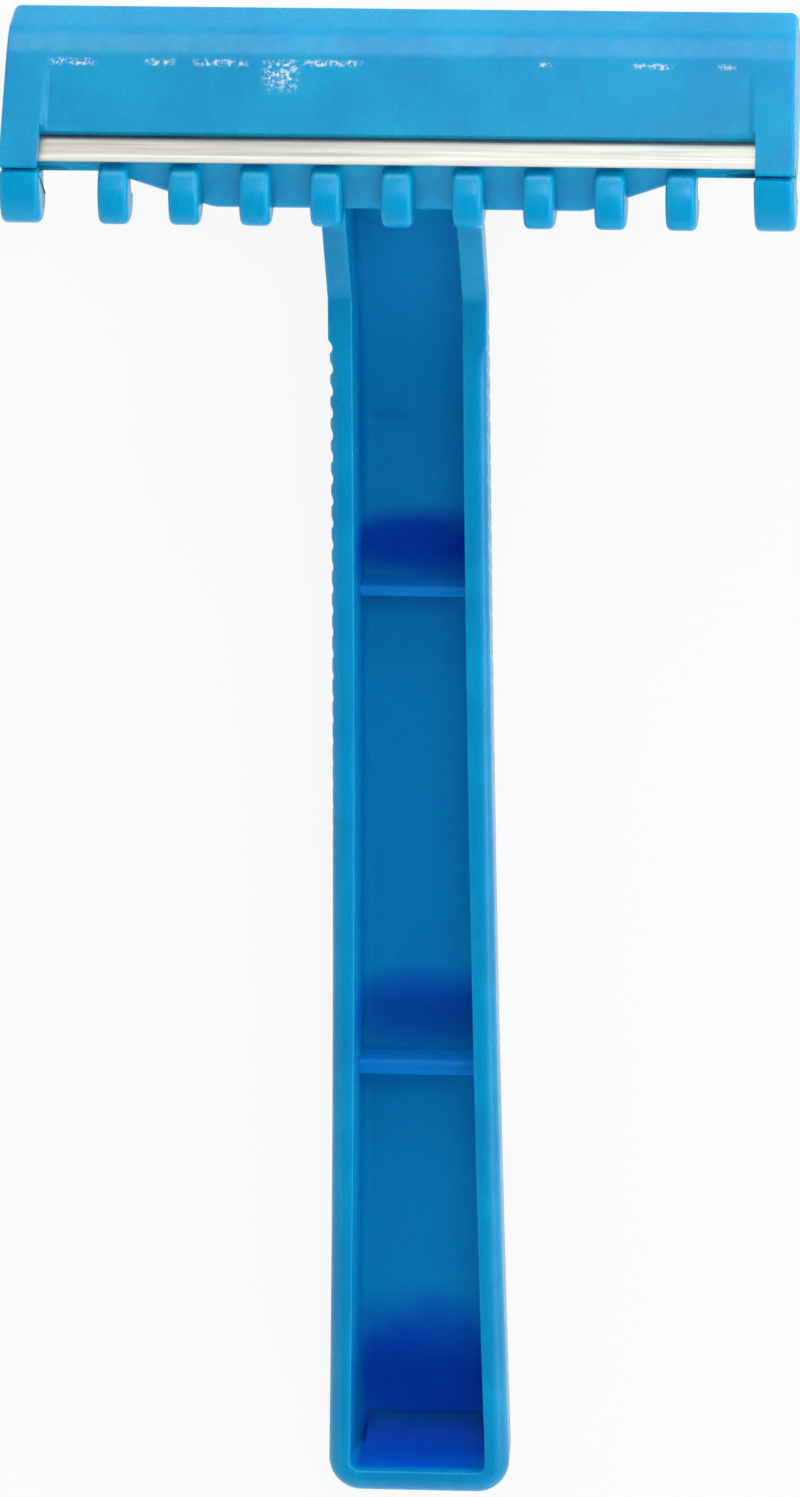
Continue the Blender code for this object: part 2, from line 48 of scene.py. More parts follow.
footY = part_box("handle")[0].y * metre

head = {
    "lean": math.radians(40),   # of the blade, from the table
    "edgeFromFoot": 74.37,      # cutting edge, measured along the handle
    "raise": 4.2,               # its lowest edge, over the table
    "halfWidth": 21.0,
    "taper": 0.2,               # on each side, towards the back
}
handle = {
    "neckFromFoot": 66.17,
    "neckWidth": 8.5,
    "footWidth": 10.05,
    "flarePower": 2.2,
    "footDepth": 5.7,
    "draft": math.radians(4),
    "footCorner": 1.8,
    "backRadius": 1.1,
    "rimRadius": 0.65,          # outer edge of the rims where the grip starts
    "footRimRadius": 1.15,      # at the foot
    "neckRimRadius": 0.14,      # and on the neck
    "stepFromEdge": 11.0,
    "innerRadius": 0.10,
    "wall": 1.31,
    "floor": 1.2,
    "floorRadius": 0.6,
    "footWall": 1.3,
    "endSlope": 0.4,
    "troughCorner": 0.5,
    "spineStart": 12.0,
    "spineCurve": 20.0,
    "spineBack": 6.6,
    "ribHeight": 2.4,
    "ribs": ((49.67, 0.60), (23.37, 0.85)), # place from the foot, thickness
}
seat = {
    "thickness": 1.6,
    "rest": 0.13,               # blade's top face to the seat
    "hairGap": 0.9,
    "webRise": math.radians(30),
    "webThickness": 1.3,
    "webProud": 0.015,          # over the rims
    "webDrop": 2.78,
    "webTopDrop": 0.70,
    "webTopInset": 5.6,
    "webFlare": 5.5,
    "webTopRadius": 1.2,
    "webFootRadius": 2.0,
    "edge": 0.24,
}
cap = {
    "length": 9.13,
    "crestHeight": 1.78,
    "crestStart": 5.65,
    "crestEnd": 7.05,
    "crestRadius": 2.0,
    "backHeight": 0.62,
    "edgeRadius": 0.2,
    "lipTop": 0.48,
    "seam": 0.03,
    "exposed": 1.55,            # blade in front of the lip
    "ribWidth": 2.05,
    "ribRamp": 0.42,            # from the panel up to the rib
    "ribDrop": 0.3,
    "ribTip": 0.34,
    "panelEnd": 5.2,
    "under": -0.1,              # its underside, round the blade's pocket
    "cornerRadius": 0.42,
    "arcSteps": 12,
}
blade = {
    "width": 7.0,
    "thickness": 0.1,
    "inset": 1.6,
    "grind": 0.5,
}

leanSin = math.sin(head["lean"])
leanCos = math.cos(head["lean"])
seatBack = blade["thickness"] + 0.3 + seat["thickness"]
edgeY = footY + head["edgeFromFoot"]
edgeZ = head["raise"] + cap["length"] * leanSin + seatBack * leanCos
kinkY = footY + handle["neckFromFoot"]
webFootY = edgeY - seat["webDrop"]


def headPoint(u, w):
    # u runs back along the blade from its edge, w stands on its upper face
    return (edgeY + u * leanCos + w * leanSin, edgeZ - u * leanSin + w * leanCos)


def webHeight(y):
    startY, startZ = headPoint(0, -blade["thickness"] - seat["hairGap"])
    return startZ + (y - startY) * math.tan(seat["webRise"])


def rimHeight(y):
    if y > kinkY:
        return webHeight(y) - seat["webProud"]
    neckDepth = webHeight(kinkY) - seat["webProud"]
    return handle["footDepth"] + (neckDepth - handle["footDepth"]) * (y - footY) / (kinkY - footY)


def halfWidth(y):
    share = max(0, 1 - (y - footY) / (kinkY - footY))
    flare = handle["footWidth"] - handle["neckWidth"]
    return (handle["neckWidth"] + flare * share ** handle["flarePower"]) / 2


def draftAt(y, z):
    # how far the flank stands out of its width at the rims; it leans in below them
    return math.tan(handle["draft"]) * (z - rimHeight(min(y, edgeY - seat["webTopDrop"])))


def webCrossing(w, depth):
    # where the head's plane at w meets a plane lying depth behind the web's face
    startY, startZ = headPoint(0, w)
    rise = math.tan(seat["webRise"])
    above = startZ - webHeight(startY) + depth / math.cos(seat["webRise"])
    return headPoint(above / (leanSin + leanCos * rise), w)


def spaced(first, last, count):
    return [first + (last - first) * i / count for i in range(count)]


def roundedOutline(corners, radii, steps=8):
    outline = []
    for i, radius in enumerate(radii):
        corner = Vector(corners[i])
        before = Vector(corners[i - 1]) - corner
        after = Vector(corners[(i + 1) % len(corners)]) - corner
        if radius == 0:
            outline.append(tuple(corner))
            continue
        half = before.angle(after) / 2
        cut = min(radius / math.tan(half), before.length / 2, after.length / 2)
        start = corner + before.normalized() * cut
        inward = (before.normalized() + after.normalized()).normalized()
        centre = corner + inward * cut / math.cos(half)
        first = start - centre
        last = corner + after.normalized() * cut - centre
        sweep = math.atan2(first.cross(last), first.dot(last))
        for k in range(steps + 1):
            outline.append(tuple(centre + Matrix.Rotation(sweep * k / steps, 2) @ first))
    return outline


def placed(name, data):
    made = bpy.data.objects.new(name, data)
    bpy.context.scene.collection.objects.link(made)
    return made


def clean(bm):
    bmesh.ops.remove_doubles(bm, verts=bm.verts, dist=mergeDistance)
    bmesh.ops.dissolve_degenerate(bm, dist=mergeDistance, edges=bm.edges)


def newObject(name, bm):
    clean(bm)
    bmesh.ops.recalc_face_normals(bm, faces=bm.faces)
    mesh = bpy.data.meshes.new(name)
    bm.to_mesh(mesh)
    bm.free()
    return placed(name, mesh)


def lofted(name, bm, rows):
    # closed rows of vertices joined into a tube, with a face at each end
    for lower, upper in zip(rows, rows[1:]):
        for i in range(len(lower)):
            bm.faces.new((lower[i - 1], lower[i], upper[i], upper[i - 1]))
    bm.faces.new(rows[0])
    bm.faces.new(reversed(rows[-1]))
    return newObject(name, bm)


def bakeModifiers(obj):
    bpy.context.view_layer.update()
    graph = bpy.context.evaluated_depsgraph_get()
    plain = bpy.data.meshes.new_from_object(obj.evaluated_get(graph))
    obj.modifiers.clear()
    old = obj.data
    obj.data = plain
    bpy.data.meshes.remove(old)
    return obj


def combine(body, tool, operation):
    boolean = body.modifiers.new(operation.lower(), "BOOLEAN")
    boolean.operation = operation
    boolean.solver = "EXACT"
    boolean.object = tool
    bakeModifiers(body)
    bpy.data.objects.remove(tool, do_unlink=True)
    bm = bmesh.new()
    bm.from_mesh(body.data)
    clean(bm)
    bm.to_mesh(body.data)
    bm.free()
    return body


def prism(name, outline, place, low, high):
    bm = bmesh.new()
    near = [bm.verts.new(place(p, low)) for p in outline]
    far = [bm.verts.new(place(p, high)) for p in outline]
    bm.faces.new(near)
    bm.faces.new(reversed(far))
    for i in range(len(outline)):
        bm.faces.new((near[i - 1], near[i], far[i], far[i - 1]))
    return newObject(name, bm)


def sideSolid(name, outline, half, x=0):
    return prism(name, outline, lambda p, t: (t, p[0], p[1]), x - half, x + half)


def planSolid(name, outline, low, high):
    return prism(name, outline, lambda p, t: (p[0], p[1], t), low, high)


def roundEdges(body, radius, segments, chosen):
    bm = bmesh.new()
    bm.from_mesh(body.data)
    bmesh.ops.dissolve_limit(bm, angle_limit=math.radians(0.2), verts=bm.verts, edges=bm.edges)
    bm.normal_update()
    picked = [e for e in bm.edges if e.calc_face_angle(0) > math.radians(35) and chosen(e)]
    bmesh.ops.bevel(
        bm, geom=picked, offset=radius, offset_type="OFFSET", segments=segments,
        profile=0.5, affect="EDGES", clamp_overlap=True,
    )
    bmesh.ops.remove_doubles(bm, verts=bm.verts, dist=mergeDistance)
    bm.to_mesh(body.data)
    bm.free()


def between(edge, first, second):
    a, b = (face.normal for face in edge.link_faces)
    return (first(a) and second(b)) or (first(b) and second(a))


# Small helpers for node trees

def addNode(tree, kind, **values):
    node = tree.nodes.new(kind)
    for name, value in values.items():
        setattr(node, name, value)
    return node


def give(node, values):
    for label, value in values.items():
        node.inputs[label].default_value = value


def wire(tree, source, target):
    tree.links.new(source, target)


def mathNode(tree, operation, a, b=None, c=None, clamp=False):
    node = addNode(tree, "ShaderNodeMath", operation=operation, use_clamp=clamp)
    for socket, value in zip(node.inputs, (a, b, c)):
        if value is None:
            continue
        if isinstance(value, (int, float)):
            socket.default_value = value
        else:
            wire(tree, value, socket)
    return node.outputs[0]


def times(tree, a, b):
    return mathNode(tree, "MULTIPLY", a, b)


def plus(tree, a, b):
    return mathNode(tree, "ADD", a, b)


def minus(tree, a, b):
    return mathNode(tree, "SUBTRACT", a, b)


def alongX(tree, value):
    node = addNode(tree, "ShaderNodeCombineXYZ")
    wire(tree, value, node.inputs[0])
    return node.outputs[0]


def geometryTree(name, sockets):
    # a Geometry Nodes tree with a geometry input and output, and named inputs
    tree = bpy.data.node_groups.new(name, "GeometryNodeTree")
    tree.interface.new_socket("Geometry", in_out="INPUT", socket_type="NodeSocketGeometry")
    tree.interface.new_socket("Geometry", in_out="OUTPUT", socket_type="NodeSocketGeometry")
    for label, kind in sockets:
        tree.interface.new_socket(label, in_out="INPUT", socket_type="NodeSocket" + kind)
    return tree, addNode(tree, "NodeGroupInput"), addNode(tree, "NodeGroupOutput")


def endTree(tree, value, geometry, result):
    # real geometry with its material, as what the tree gives
    realize = addNode(tree, "GeometryNodeRealizeInstances")
    paint = addNode(tree, "GeometryNodeSetMaterial")
    wire(tree, geometry, realize.inputs[0])
    wire(tree, realize.outputs[0], paint.inputs["Geometry"])
    wire(tree, value["Material"], paint.inputs["Material"])
    wire(tree, paint.outputs[0], result.inputs[0])
    return tree


def runTree(obj, tree, values):
    modifier = obj.modifiers.new(tree.name, "NODES")
    modifier.node_group = tree
    identifiers = {item.name: item.identifier for item in tree.interface.items_tree
                   if item.in_out == "INPUT"}
    for label, value in values.items():
        modifier[identifiers[label]] = value
    bpy.context.view_layer.update()
    return bakeModifiers(obj)


# Handle: an open-topped bar, lofted in rings from its back to the floor of the trough

spineY = edgeY - handle["spineStart"]
tipY, tipZ = headPoint(handle["spineBack"], -seatBack + 0.5)
spineAngle = math.atan2(tipZ, tipY - spineY)
spineCut = handle["spineCurve"] * math.tan(spineAngle / 2)
rimEndY = edgeY - seat["webTopDrop"]
insideY, insideZ = headPoint(3.1, -1.2)


def backHeight(y):
    # the back is flat, then bends up behind the head
    if y < spineY - spineCut:
        return 0
    if y < spineY + spineCut * math.cos(spineAngle):
        run = y - (spineY - spineCut)
        return handle["spineCurve"] - math.sqrt(handle["spineCurve"] ** 2 - run ** 2)
    return (y - spineY) * math.tan(spineAngle)


def topHeight(y):
    if y <= rimEndY:
        return rimHeight(y)
    if y <= insideY:
        start = rimHeight(rimEndY)
        return start + (insideZ - start) * (y - rimEndY) / (insideY - rimEndY)
    return insideZ + (tipZ - insideZ) * (y - insideY) / (tipY - insideY)


def rimRadius(y):
    step = edgeY - handle["stepFromEdge"]
    share = min(1, max(0, (step - y) / 1.4 + 0.5))
    share = share * share * (3 - 2 * share)
    low = handle["rimRadius"]
    low += (handle["footRimRadius"] - low) * max(0, (step - y) / (step - footY)) ** 1.5
    return handle["neckRimRadius"] + (low - handle["neckRimRadius"]) * share


grip = {
    "Pitch": 1.2,
    "Radius": 0.44,
    "Depth": 0.24,
    "First": edgeY - 10.9,
    "Last": edgeY - 38.5,
    "Fade": 0.85,
    "Right": 0.25,              # share of the depth on the right, where the rim is rounder
}
footCornerY = footY + handle["footCorner"]
innerStart = footY + handle["footWall"] + handle["troughCorner"]
troughEnd = webFootY + 0.3
innerEnd = troughEnd - handle["troughCorner"]
gripLow = grip["Last"] - 0.4
gripHigh = edgeY - 10.2
fineSteps = int((gripHigh - gripLow) / grip["Pitch"] * 12)
lowYs = spaced(footCornerY, gripLow, 26)
fineYs = spaced(gripLow, gripHigh, fineSteps)
neckYs = spaced(gripHigh, kinkY, 8)
headYs = spaced(kinkY, rimEndY, 10)


def outlineFoot(wide, corner, y):
    # an outline's first points: x, y, inward x, inward y
    points = [(x, y - corner, 0, 1) for x in spaced(0, wide - corner, 8)]
    for turn in spaced(0, math.pi / 2, 10):
        s, c = math.sin(turn), math.cos(turn)
        points.append((wide - corner + corner * s, y - corner * c, -s, c))
    return points


def outerOutline():
    # right half, from the middle of the foot to the middle of the tip
    points = outlineFoot(halfWidth(footCornerY), handle["footCorner"], footCornerY)
    for y in lowYs + fineYs + neckYs + headYs + spaced(rimEndY, tipY, 8):
        points.append((halfWidth(y), y, -1, 0))
    wide = handle["neckWidth"] / 2
    for x in spaced(wide, 0, 6) + [0]:
        points.append((x, tipY, -x / wide, 0))
    return points


def innerOutline():
    # the trough's outline at the rims, with as many points as the outer one
    corner = handle["troughCorner"]
    points = outlineFoot(halfWidth(innerStart) - handle["wall"], corner, innerStart)
    stretch = (gripLow - innerStart) / (gripLow - footCornerY)
    sides = [innerStart + (y - footCornerY) * stretch for y in lowYs] + fineYs + neckYs
    sides += spaced(kinkY, innerEnd, 10)
    for y in sides:
        points.append((halfWidth(y) - handle["wall"], y, -1, 0))
    wide = halfWidth(innerEnd) - handle["wall"]
    for turn in spaced(0, math.pi / 2, 8):
        s, c = math.sin(turn), math.cos(turn)
        points.append((wide - corner + corner * c, innerEnd + corner * s, -c, -s))
    for x in spaced(wide - corner, 0, 6) + [0]:
        points.append((x, troughEnd, 0, -1))
    return points


def outerRings():
    # each ring is a list of (x, y, z, inset); the inset tells the grip grooves how far in it lies
    outline = outerOutline()
    wideFoot = halfWidth(footCornerY)
    levels = [("back", math.pi / 2 * k / 8) for k in range(9)]
    levels += [("flank", k / 4) for k in range(1, 4)]
    levels += [("rim", math.pi / 2 * k / 8) for k in range(9)]
    rings = []
    for kind, step in levels:
        ring = []
        for x, y, inX, inY in outline:
            low, high = backHeight(y), max(topHeight(y), backHeight(y) + 0.06)
            backR = min(handle["backRadius"], 0.45 * (high - low))
            rimR = min(rimRadius(y), 0.45 * (high - low))
            if kind == "back":
                inset = backR * (1 - math.sin(step))
                z = low + backR * (1 - math.cos(step))
            elif kind == "flank":
                inset = 0
                z = low + backR + (high - rimR - low - backR) * step
            else:
                inset = rimR * (1 - math.cos(step))
                z = high - rimR * (1 - math.sin(step))
            wide = halfWidth(y) if y > footCornerY else wideFoot
            px = (x + inset * inX) * (1 + draftAt(y, z) / wide)
            ring.append((px, y + inset * inY, z, inset))
        rings.append(ring)
    return rings


def innerRings():
    outline = innerOutline()
    levels = [("rim", math.pi / 2 * k / 4) for k in range(5)]
    levels += [("wall", k / 5) for k in range(1, 5)]
    levels += [("floor", math.pi / 2 * k / 6) for k in range(7)]
    rings = []
    for kind, step in levels:
        ring = []
        for x, y, inX, inY in outline:
            high = rimHeight(y)
            low = handle["floor"] + backHeight(y)
            edge = handle["innerRadius"]
            root = handle["floorRadius"] * (1 + 2 * abs(inY))
            if kind == "rim":
                inset = -edge * (1 - math.sin(step))
                z = high - edge * (1 - math.cos(step))
            elif kind == "wall":
                inset = 0
                z = high - edge + (low + root - high + edge) * step
            else:
                inset = root * (1 - math.cos(step))
                z = low + root * (1 - math.sin(step))
            slope = handle["endSlope"] * (high - z) / (high - low) if inY > 0 else 0
            ring.append((x + inset * inX, y + (inset + slope) * inY, z, 9))
        rings.append(ring)
    return rings


def loftBar():
    bm = bmesh.new()
    layer = bm.verts.layers.float.new("inset")
    rows = []
    for ring in outerRings() + innerRings():
        row = []
        for x, y, z, inset in ring:
            vertex = bm.verts.new((x, y, z))
            vertex[layer] = inset
            row.append(vertex)
        rows.append(row)
    for lower, upper in zip(rows, rows[1:]):
        for i in range(len(lower) - 1):
            bm.faces.new((lower[i], lower[i + 1], upper[i + 1], upper[i]))
    cornerEnd = 18
    for row in (rows[0], rows[-1]):
        # flat strips from the ring to the middle line, and one face at each end
        last = len(row) - 7
        middle = []
        for vertex in row[cornerEnd:last + 1]:
            centre = bm.verts.new((0, vertex.co.y, vertex.co.z))
            centre[layer] = 9
            middle.append(centre)
        for i in range(len(middle) - 1):
            k = cornerEnd + i
            bm.faces.new((row[k], row[k + 1], middle[i + 1], middle[i]))
        bm.faces.new(row[:cornerEnd + 1] + [middle[0]])
        bm.faces.new(row[last:] + [middle[-1]])
    everything = bm.verts[:] + bm.edges[:] + bm.faces[:]
    bmesh.ops.mirror(
        bm, geom=everything, matrix=Matrix.Identity(4), merge_dist=mergeDistance, axis="X")
    return newObject("handle", bm)


def gripTree():
    # pushes the flanks in along round-bottomed grooves that fade towards the foot
    sockets = [(label, "Float") for label in grip] + [("Material", "Material")]
    tree, given, result = geometryTree("gripGrooves", sockets)
    value = given.outputs
    split = addNode(tree, "ShaderNodeSeparateXYZ")
    wire(tree, addNode(tree, "GeometryNodeInputPosition").outputs[0], split.inputs[0])
    x, y = split.outputs[0], split.outputs[1]
    inset = addNode(tree, "GeometryNodeInputNamedAttribute", data_type="FLOAT")
    inset.inputs["Name"].default_value = "inset"
    turns = mathNode(tree, "DIVIDE", minus(tree, value["First"], y), value["Pitch"])
    number = mathNode(tree, "ROUND", turns)
    offset = times(tree, minus(tree, turns, number), value["Pitch"])
    count = mathNode(tree, "DIVIDE", minus(tree, value["First"], value["Last"]), value["Pitch"])
    faded = times(tree, value["Fade"], mathNode(tree, "DIVIDE", number, count))
    depth = times(tree, value["Depth"], minus(tree, 1, faded))
    onRight = times(tree, mathNode(tree, "GREATER_THAN", x, 0), minus(tree, 1, value["Right"]))
    depth = times(tree, depth, minus(tree, 1, onRight))
    square = minus(tree, times(tree, value["Radius"], value["Radius"]),
                   times(tree, offset, offset))
    reach = mathNode(tree, "SQRT", mathNode(tree, "MAXIMUM", square, 0))
    cut = minus(tree, reach, minus(tree, value["Radius"], depth))
    cut = mathNode(tree, "MAXIMUM", minus(tree, cut, inset.outputs["Attribute"]), 0)
    inside = times(tree, mathNode(tree, "GREATER_THAN", number, -0.5),
                   mathNode(tree, "LESS_THAN", number, count))
    push = times(tree, times(tree, cut, inside), mathNode(tree, "SIGN", x))
    move = addNode(tree, "GeometryNodeSetPosition")
    wire(tree, value["Geometry"], move.inputs["Geometry"])
    wire(tree, alongX(tree, times(tree, push, -1)), move.inputs["Offset"])
    return endTree(tree, value, move.outputs[0], result)


def rowTree():
    # copies of one part in a row along X, such as the comb's teeth
    tree, given, result = geometryTree("evenRow", (
        ("Count", "Int"), ("Pitch", "Float"), ("Part", "Object"), ("Material", "Material")))
    value = given.outputs
    line = addNode(tree, "GeometryNodeMeshLine")
    span = times(tree, minus(tree, value["Count"], 1), value["Pitch"])
    wire(tree, value["Count"], line.inputs["Count"])
    wire(tree, alongX(tree, times(tree, span, -0.5)), line.inputs["Start Location"])
    wire(tree, alongX(tree, value["Pitch"]), line.inputs["Offset"])
    part = addNode(tree, "GeometryNodeObjectInfo")
    wire(tree, value["Part"], part.inputs["Object"])
    copies = addNode(tree, "GeometryNodeInstanceOnPoints")
    wire(tree, line.outputs[0], copies.inputs["Points"])
    wire(tree, part.outputs["Geometry"], copies.inputs["Instance"])
    return endTree(tree, value, copies.outputs[0], result)


def emptyMesh(name):
    return placed(name, bpy.data.meshes.new(name))


# Comb: nine teeth and an end block at each side

comb = {
    "count": 9,
    "pitch": 3.75,
    "width": 1.62,
    "reach": 3.5,
    "proud": 0.31,
    "depth": 2.81,
    "edge": 0.34,
    "blockWidth": 2.15,
    "blockProud": 0.58,
    "blockStart": 0.44,
    # outlines: shares of the reach and of the depth
    "tooth": (
        (0.03, 0.575), (0.055, 0.385), (0.105, 0.255), (0.16, 0.160), (0.23, 0.095), (0.33, 0.045),
        (0.48, 0.0), (0.64, 0.010), (0.81, 0.065), (0.92, 0.155), (0.98, 0.275), (1.0, 0.445),
        (0.985, 0.640), (0.90, 0.835), (0.77, 0.955), (0.61, 1.0), (0.555, 0.945), (0.535, 0.765),
        (0.455, 0.720), (0.17, 0.750), (0.08, 0.680)),
    "block": (
        (0.0, 0.620), (0.0, 0.075), (0.04, 0.015), (0.15, 0.0), (0.42, 0.025), (0.66, 0.105),
        (0.86, 0.225), (0.96, 0.355), (1.0, 0.500), (0.98, 0.665), (0.88, 0.845), (0.72, 0.960),
        (0.53, 1.0), (0.463, 0.955), (0.44, 0.800), (0.34, 0.760), (0.01, 0.785), (-0.18, 0.785),
        (-0.18, 0.620)),
}


def combOutline(shares, start, proud, depth):
    points = []
    for reachShare, depthShare in shares:
        reach = start + reachShare * (comb["reach"] - start)
        points.append(Vector((edgeY - reach, edgeZ + proud - depthShare * depth)))
    return points


def smoothOutline(points, first, last):
    # one Catmull-Rom point in the middle of each side from first to last
    smooth = []
    count = len(points)
    for i in range(count):
        smooth.append(points[i])
        if first <= i < last:
            a, b, c, d = (points[(i + k) % count] for k in (-1, 0, 1, 2))
            smooth.append((9 * (b + c) - a - d) / 16)
    return smooth


def cushioned(name, outline, half, edge, x=0, steps=4):
    # an outline given its width, with its two rims rolled over
    count = len(outline)
    inward = []
    for i in range(count):
        along = (outline[(i + 1) % count] - outline[i - 1]).normalized()
        inward.append(Vector((-along.y, along.x)))
    area = sum(outline[i - 1].cross(outline[i]) for i in range(count))
    flip = 1 if area > 0 else -1
    bm = bmesh.new()
    rows = []
    rolls = [math.pi / 2 * k / steps for k in range(steps + 1)]
    for direction in (-1, 1):
        for turn in (reversed(rolls) if direction < 0 else rolls):
            inset = edge * (1 - math.cos(turn))
            px = x + direction * (half - edge + edge * math.sin(turn))
            rows.append([bm.verts.new((px, *(outline[i] + inward[i] * flip * inset)))
                         for i in range(count)])
    return lofted(name, bm, rows)


def joined(name, parts):
    bm = bmesh.new()
    for part in parts:
        bm.from_mesh(part.data)
        bpy.data.objects.remove(part, do_unlink=True)
    return newObject(name, bm)


def makeComb(row, material):
    tooth = smoothOutline(combOutline(comb["tooth"], 0, comb["proud"], comb["depth"]), 0, 15)
    part = cushioned("tooth", tooth, comb["width"] / 2, comb["edge"])
    teeth = emptyMesh("combTeeth")
    runTree(teeth, row, {"Count": comb["count"], "Pitch": comb["pitch"], "Part": part,
                         "Material": material})
    bpy.data.objects.remove(part)
    blockDepth = comb["depth"] + comb["blockProud"] - comb["proud"]
    block = smoothOutline(
        combOutline(comb["block"], comb["blockStart"], comb["blockProud"], blockDepth), 3, 13)
    half = comb["blockWidth"] / 2
    blocks = [cushioned("endBlock", block, half, comb["edge"], side * (head["halfWidth"] - half))
              for side in (-1, 1)]
    return joined("comb", [teeth] + blocks)


# Seat under the blade, and the flared web below it

stake = {
    "places": (-15.8, -6.2, 6.2, 15.8),
    "along": 4.2,               # back from the cutting edge
    "radius": 0.75,
    "dome": 1.32,
    "hole": 0.9,                # in the seat
    "sink": 1.55,               # round the formed end
    "bladeHole": 1.05,
}


def headPins(name, radius, low, high, sides=40):
    bm = bmesh.new()
    y, z = headPoint(stake["along"], (low + high) / 2)
    turn = Matrix.Rotation(-head["lean"], 4, "X")
    for x in stake["places"]:
        bmesh.ops.create_cone(
            bm, cap_ends=True, segments=sides, radius1=radius, radius2=radius,
            depth=high - low, matrix=Matrix.Translation((x, y, z)) @ turn)
    return newObject(name, bm)


def makeSeat():
    pastY = webFootY - 1
    pastZ = webHeight(pastY)
    side = [
        headPoint(cap["length"], -seat["rest"]),
        webCrossing(-seat["rest"], 0),
        (pastY, pastZ),
        (pastY, pastZ - seat["webThickness"]),
        webCrossing(-seatBack, seat["webThickness"]),
        headPoint(cap["length"], -seatBack),
    ]
    plate = sideSolid("seat", side, head["halfWidth"] + 1)
    topY = edgeY - seat["webTopDrop"]
    backY = edgeY + cap["length"] * leanCos + cap["backHeight"] * leanSin
    topX = head["halfWidth"] - seat["webTopInset"]
    footX = topX - seat["webFlare"]
    right = [
        (footX - seat["webFlare"], webFootY),
        (footX, webFootY),
        (topX, topY),
        (head["halfWidth"], topY),
        (head["halfWidth"], edgeY),
        (head["halfWidth"] - head["taper"], backY),
    ]
    radii = [0, seat["webFootRadius"], seat["webTopRadius"], 0, 0, 0]
    outline = right + [(-x, y) for x, y in reversed(right)]
    plan = planSolid("seatPlan", roundedOutline(outline, radii + radii[::-1]), -edgeZ, 2 * edgeZ)
    combine(plate, plan, "INTERSECT")
    roundEdges(plate, 0.5, 5, lambda e: between(
        e, lambda n: abs(n.x) > 0.88, lambda n: n.y > 0.6 and n.z < 0))
    roundEdges(plate, seat["edge"], 4, lambda e: between(
        e, lambda n: n.z > 0.6, lambda n: abs(n.z) < 0.45)
        and all(v.co.y < topY + 0.001 for v in e.verts))
    low = -seatBack - 1
    combine(plate, headPins("pinHoles", stake["hole"], low, 1), "DIFFERENCE")
    return combine(
        plate, headPins("pinSinks", stake["sink"], low, -seatBack + 0.8), "DIFFERENCE")


def crossRib(place, thickness):
    y = footY + place
    low = handle["floor"] - 0.4
    high = handle["floor"] + handle["ribHeight"]
    half = thickness / 2
    outline = roundedOutline(
        [(y - half, low), (y + half, low), (y + half, high), (y - half, high)],
        [0, 0, 0.28, 0.28], 6)
    return sideSolid("crossRib", outline, halfWidth(y) - handle["wall"] + 0.4)


# Cap over the blade

def capSections():
    # the panel's section, the rib's over the blade's end, and the solid rib's: points by name,
    # so that two sections that meet in one plane can share what they have in common
    def ribFront(w):
        return (-cap["ribDrop"] - w * leanSin) / leanCos, w

    tipU = ribFront(cap["ribTip"])[0]
    slope = (cap["crestHeight"] - cap["ribTip"]) / (cap["crestStart"] - tipU)
    under = cap["under"]
    exposed = cap["exposed"]

    def ribLine(u):
        return cap["ribTip"] + slope * (u - tipU)

    crest = roundedOutline(
        [(tipU, cap["ribTip"]), (cap["crestStart"], cap["crestHeight"]),
         (cap["crestEnd"], cap["crestHeight"]), (cap["length"], cap["backHeight"]),
         (cap["length"], under)],
        [0, cap["crestRadius"], cap["crestRadius"], cap["edgeRadius"], 0], cap["arcSteps"])[1:]
    crestU = crest[0][0]
    rise = (ribLine(cap["panelEnd"]) - cap["lipTop"]) / (cap["panelEnd"] - exposed)
    panelTop = [(exposed + du, cap["lipTop"] + du * slope) for du in (0.17, 0.23)]
    steps = 14
    for k in range(2, steps):
        u = exposed + (crestU - exposed) * k / steps
        panelTop.append((u, min(cap["lipTop"] + rise * (u - exposed), ribLine(u))))
    ribTop = [(u, ribLine(u)) for u, w in panelTop]
    nose = [(tipU + du, ribLine(tipU + du)) for du in (0.17, 0.23, 0.5, 0.95, 1.55)]
    front = [ribFront(cap["seam"]), ribFront(cap["ribTip"] - 0.16),
             (tipU + 0.09, cap["ribTip"] - 0.05)]
    foot = [(exposed, cap["seam"])]
    turn = cap["edgeRadius"] * 0.35
    lip = [(exposed, cap["lipTop"] - turn), (exposed + turn * 0.3, cap["lipTop"] - turn * 0.3)]
    pocket = [(blade["width"] + 0.3, under), (blade["width"] + 0.3, cap["seam"])]

    def named(**groups):
        return {(name, k): point
                for name, group in groups.items() for k, point in enumerate(group)}

    return {
        "panel": named(foot=foot, lip=lip, top=panelTop + crest, pocket=pocket),
        "rib": named(foot=foot, front=front, nose=nose, top=ribTop + crest, pocket=pocket),
        "end": named(skirt=[ribFront(under)], front=front, nose=nose, top=ribTop + crest,
                     pocket=pocket[:1]),
    }


